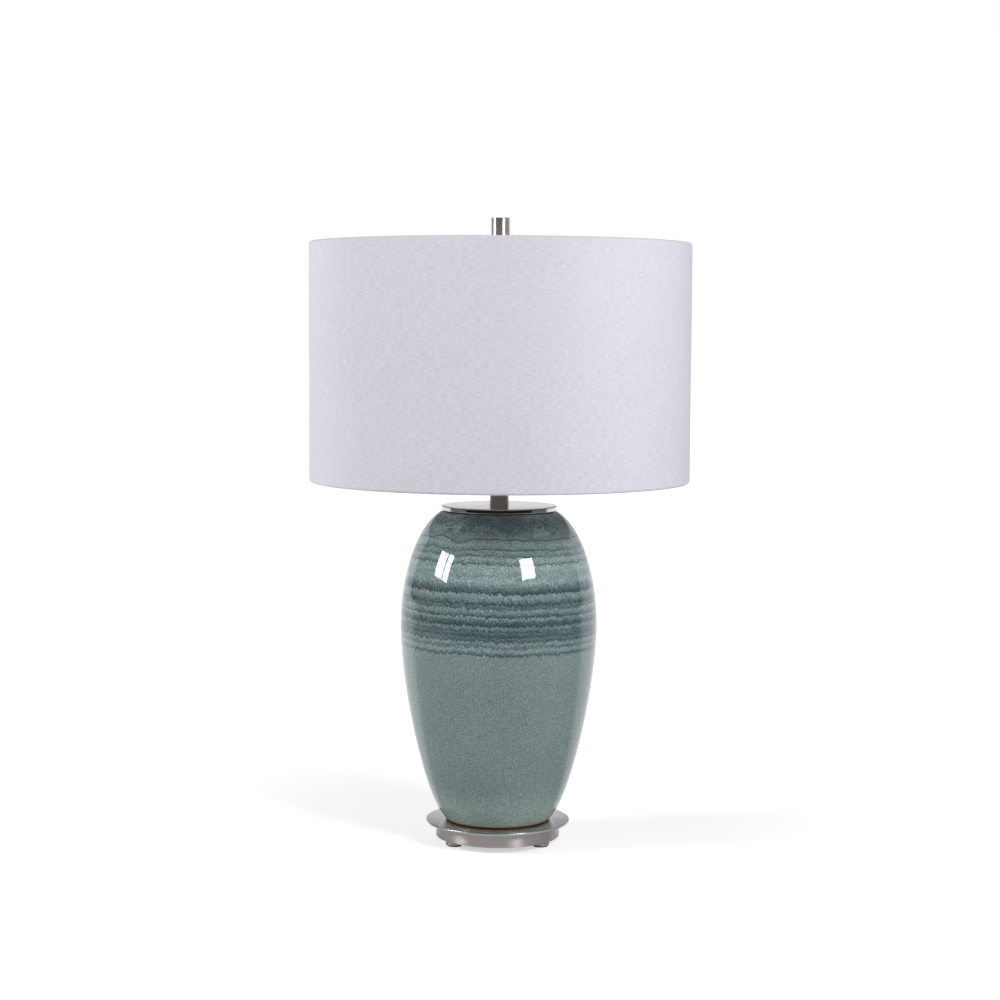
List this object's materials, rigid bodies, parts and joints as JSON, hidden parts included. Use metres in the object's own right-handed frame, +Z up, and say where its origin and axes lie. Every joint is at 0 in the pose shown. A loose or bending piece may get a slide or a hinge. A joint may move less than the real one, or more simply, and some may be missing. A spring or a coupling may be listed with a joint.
{
  "type": "ceramic table lamp",
  "caption": "Table lamp with a tapered glazed ceramic urn on a footed round metal base, a flat metal cap and neck, a harp, and a straight white linen drum shade with a cylindrical finial.",
  "frame": {"origin": "on the table, on the lamp's axis, at the centre of the bounding box's bottom", "axes": "+Z up along the lamp's axis; -Y towards the viewer of the picture; +Y towards the cord inlet"},
  "size_m": [0.3949, 0.395, 0.6518],
  "materials": {
    "glazed_ceramic": "glossy reactive glaze, dark banded over celadon, fine crackle",
    "brushed_nickel": "satin brushed nickel plate",
    "polished_nickel": "polished nickel plate, faintly brushed",
    "zinc_steel": "bright zinc plate on pressed steel",
    "cast_iron": "raw casting, painted black",
    "white_wire": "white powder coat on steel wire",
    "linen": "fine white linen weave with slubs",
    "white_lining": "satin white laminated styrene",
    "felt": "pressed felt",
    "black_rubber": "matte rubber",
    "black_plastic": "moulded phenolic",
    "liner_board": "vulcanised fibre paper",
    "thin_aluminium": "rolled aluminium",
    "brass": "plain brass"
  },
  "bodies": {
    "stand": {"foot_pad_left": "felt", "foot_pad_right": "felt", "foot_pad_rear": "felt", "foot_left": "brushed_nickel", "foot_right": "brushed_nickel", "foot_rear": "brushed_nickel", "base_pan": "brushed_nickel", "cord_inlet_bushing": "black_rubber", "ballast_disc": "cast_iron", "bottom_cover": "zinc_steel", "cover_screws": "zinc_steel", "base_plate": "brushed_nickel", "threaded_pipe": "zinc_steel", "pipe_washer": "zinc_steel", "lower_pipe_nut": "zinc_steel", "upper_pipe_nut": "zinc_steel", "base_gasket": "black_rubber", "vase": "glazed_ceramic", "cap_gasket": "black_rubber", "cap_plate": "brushed_nickel", "neck_tube": "brushed_nickel", "neck_seating_ring": "zinc_steel", "harp_saddle": "polished_nickel", "harp": "polished_nickel", "harp_stud": "polished_nickel", "socket_cap": "polished_nickel", "socket_shell": "polished_nickel", "socket_liner": "liner_board", "socket_core": "black_plastic", "terminal_screws": "brass", "screw_shell": "thin_aluminium", "centre_contact": "brass"},
    "switch": {"switch_stem": "brass", "switch_knob": "black_plastic"},
    "shade": {"shade_fabric": "linen", "shade_lining": "white_lining", "shade_ring_top": "white_wire", "shade_ring_bottom": "white_wire", "spider_hub": "polished_nickel", "spider_arm_1": "white_wire", "spider_arm_2": "white_wire", "spider_arm_3": "white_wire"},
    "finial": {"finial": "polished_nickel"},
    "sleeve_left": {"harp_sleeve_left": "polished_nickel"},
    "sleeve_right": {"harp_sleeve_right": "polished_nickel"}
  },
  "joints": [
    {"name": "switch_turn", "type": "hinge", "parent": "stand", "child": "switch", "pos_m": [0, 0, 0.4081], "axis": [0, -1, 0], "continuous": true},
    {"name": "shade_swivel", "type": "hinge", "parent": "stand", "child": "shade", "pos_m": [0, 0, 0.6122], "axis": [0, 0, 1], "continuous": true},
    {"name": "finial_turn", "type": "hinge", "parent": "stand", "child": "finial", "pos_m": [0, 0, 0.6138], "axis": [0, 0, 1], "continuous": true},
    {"name": "sleeve_left_lift", "type": "slide", "parent": "stand", "child": "sleeve_left", "axis": [0, 0, 1], "range_m": [0, 0.01]},
    {"name": "sleeve_right_lift", "type": "slide", "parent": "stand", "child": "sleeve_right", "axis": [0, 0, 1], "range_m": [0, 0.01]}
  ]
}
